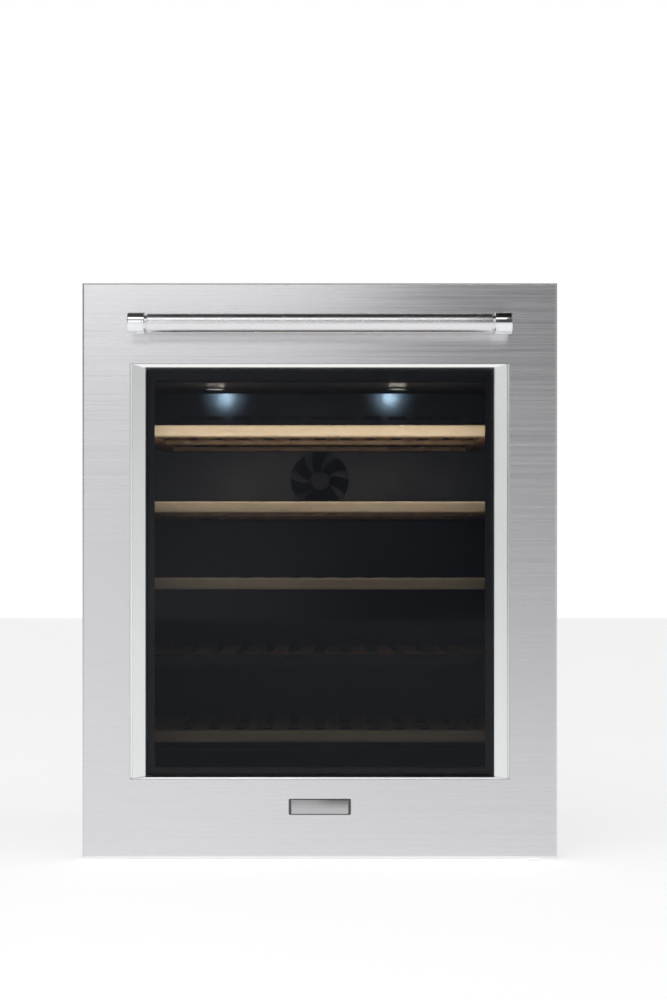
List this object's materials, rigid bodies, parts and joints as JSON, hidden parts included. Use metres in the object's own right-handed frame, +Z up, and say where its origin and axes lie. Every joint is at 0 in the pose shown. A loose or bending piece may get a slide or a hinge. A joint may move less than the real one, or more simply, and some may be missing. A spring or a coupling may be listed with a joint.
{
  "type": "wine cooler",
  "caption": "Built-in wine cooler: an insulated cabinet with a glazed steel door on a vertical hinge and sliding oak shelves.",
  "frame": {"origin": "on the floor, under the middle of the whole object's box", "axes": "+X to the right seen from the front, +Y to the back, +Z up; the door faces -Y"},
  "size_m": [0.595, 0.6104, 0.724],
  "materials": {
    "steel_front": "satin",
    "trim_metal": "satin",
    "handle_steel": "satin",
    "polished_metal": "polished",
    "plate_metal": "satin",
    "tinted_glass": "gloss",
    "clear_glass": "gloss",
    "black_plastic": "satin",
    "liner_plastic": "satin",
    "foam": "matte",
    "shell_paint": "satin",
    "zinc_sheet": "satin",
    "bright_steel": "satin",
    "fin_metal": "satin",
    "copper": "satin",
    "rubber": "matte",
    "oak": "matte",
    "black_front": "satin",
    "lens": "satin",
    "display": "gloss",
    "button_plastic": "satin",
    "bush_plastic": "satin",
    "spacer_metal": "satin"
  },
  "bodies": {
    "cabinet": {"outer_shell": "shell_paint", "back_panel": "zinc_sheet", "base_plate": "zinc_sheet", "base_grille": "black_plastic", "cabinet_insulation": "foam", "inner_liner": "liner_plastic", "air_duct_cover": "liner_plastic", "evaporator": "fin_metal", "evaporator_fan_frame": "black_plastic", "condenser": "fin_metal", "condenser_fan_frame": "black_plastic", "compressor": "shell_paint", "compressor_mounts": "rubber", "refrigerant_pipes": "copper", "evaporation_tray": "black_plastic", "rear_cover": "zinc_sheet", "cabinet_screws": "bright_steel", "power_inlet": "black_plastic", "ceiling_unit": "liner_plastic", "lamp_lenses": "lens", "display_window": "display", "fixed_rails": "bright_steel", "rubber_feet": "rubber", "hinge_bracket_top": "zinc_sheet", "hinge_bracket_bottom": "zinc_sheet", "hinge_pins": "bright_steel", "niche_brackets": "zinc_sheet"},
    "door": {"door_panel": "steel_front", "window_trims": "trim_metal", "door_core": "black_plastic", "glass_outer": "tinted_glass", "glass_inner": "clear_glass", "glazing_spacer": "spacer_metal", "door_gasket": "rubber", "hinge_bushes": "bush_plastic", "handle_bar": "handle_steel", "handle_ends": "polished_metal", "handle_posts": "handle_steel", "blank_plate": "plate_metal"},
    "shelf_1": {"shelf_front_1": "oak", "shelf_slats_1": "oak", "shelf_runners_1": "bright_steel"},
    "shelf_2": {"shelf_front_2": "oak", "shelf_slats_2": "oak", "shelf_runners_2": "bright_steel"},
    "shelf_3": {"shelf_front_3": "oak", "shelf_slats_3": "oak", "shelf_runners_3": "bright_steel"},
    "shelf_4": {"shelf_front_4": "black_front", "shelf_slats_4": "oak", "shelf_runners_4": "bright_steel"},
    "shelf_5": {"shelf_front_5": "oak", "shelf_slats_5": "oak", "shelf_runners_5": "bright_steel"},
    "evaporator_fan": {"evaporator_fan_rotor": "black_plastic"},
    "condenser_fan": {"condenser_fan_rotor": "black_plastic"},
    "power_button": {"button_power": "button_plastic"},
    "light_button": {"button_light": "button_plastic"},
    "up_button": {"button_up": "button_plastic"},
    "down_button": {"button_down": "button_plastic"}
  },
  "joints": [
    {"name": "door_hinge", "type": "hinge", "parent": "cabinet", "child": "door", "pos_m": [0.288, -0.2432, 0.364], "axis": [0, 0, 1], "range_deg": [0, 110]},
    {"name": "shelf_slide_1", "type": "slide", "parent": "cabinet", "child": "shelf_1", "axis": [0, -1, 0], "range_m": [0, 0.12]},
    {"name": "shelf_slide_2", "type": "slide", "parent": "cabinet", "child": "shelf_2", "axis": [0, -1, 0], "range_m": [0, 0.12]},
    {"name": "shelf_slide_3", "type": "slide", "parent": "cabinet", "child": "shelf_3", "axis": [0, -1, 0], "range_m": [0, 0.12]},
    {"name": "shelf_slide_4", "type": "slide", "parent": "cabinet", "child": "shelf_4", "axis": [0, -1, 0], "range_m": [0, 0.12]},
    {"name": "shelf_slide_5", "type": "slide", "parent": "cabinet", "child": "shelf_5", "axis": [0, -1, 0], "range_m": [0, 0.12]},
    {"name": "evaporator_fan_spin", "type": "hinge", "parent": "cabinet", "child": "evaporator_fan", "pos_m": [0, 0.2278, 0.496], "axis": [0, 1, 0], "continuous": true},
    {"name": "condenser_fan_spin", "type": "hinge", "parent": "cabinet", "child": "condenser_fan", "pos_m": [0.045, 0.2278, 0.06], "axis": [1, 0, 0], "continuous": true},
    {"name": "power_button_press", "type": "slide", "parent": "cabinet", "child": "power_button", "axis": [0, 1, 0], "range_m": [0, 0.0015], "stiffness_N_per_m": 400},
    {"name": "light_button_press", "type": "slide", "parent": "cabinet", "child": "light_button", "axis": [0, 1, 0], "range_m": [0, 0.0015], "stiffness_N_per_m": 400},
    {"name": "up_button_press", "type": "slide", "parent": "cabinet", "child": "up_button", "axis": [0, 1, 0], "range_m": [0, 0.0015], "stiffness_N_per_m": 400},
    {"name": "down_button_press", "type": "slide", "parent": "cabinet", "child": "down_button", "axis": [0, 1, 0], "range_m": [0, 0.0015], "stiffness_N_per_m": 400}
  ],
  "couplings": [
    {"joint": "shelf_slide_1", "follows": "door_hinge", "m_per_rad": 0.0625},
    {"joint": "shelf_slide_2", "follows": "door_hinge", "m_per_rad": 0.0625},
    {"joint": "shelf_slide_3", "follows": "door_hinge", "m_per_rad": 0.0625},
    {"joint": "shelf_slide_4", "follows": "door_hinge", "m_per_rad": 0.0625},
    {"joint": "shelf_slide_5", "follows": "door_hinge", "m_per_rad": 0.0625}
  ]
}
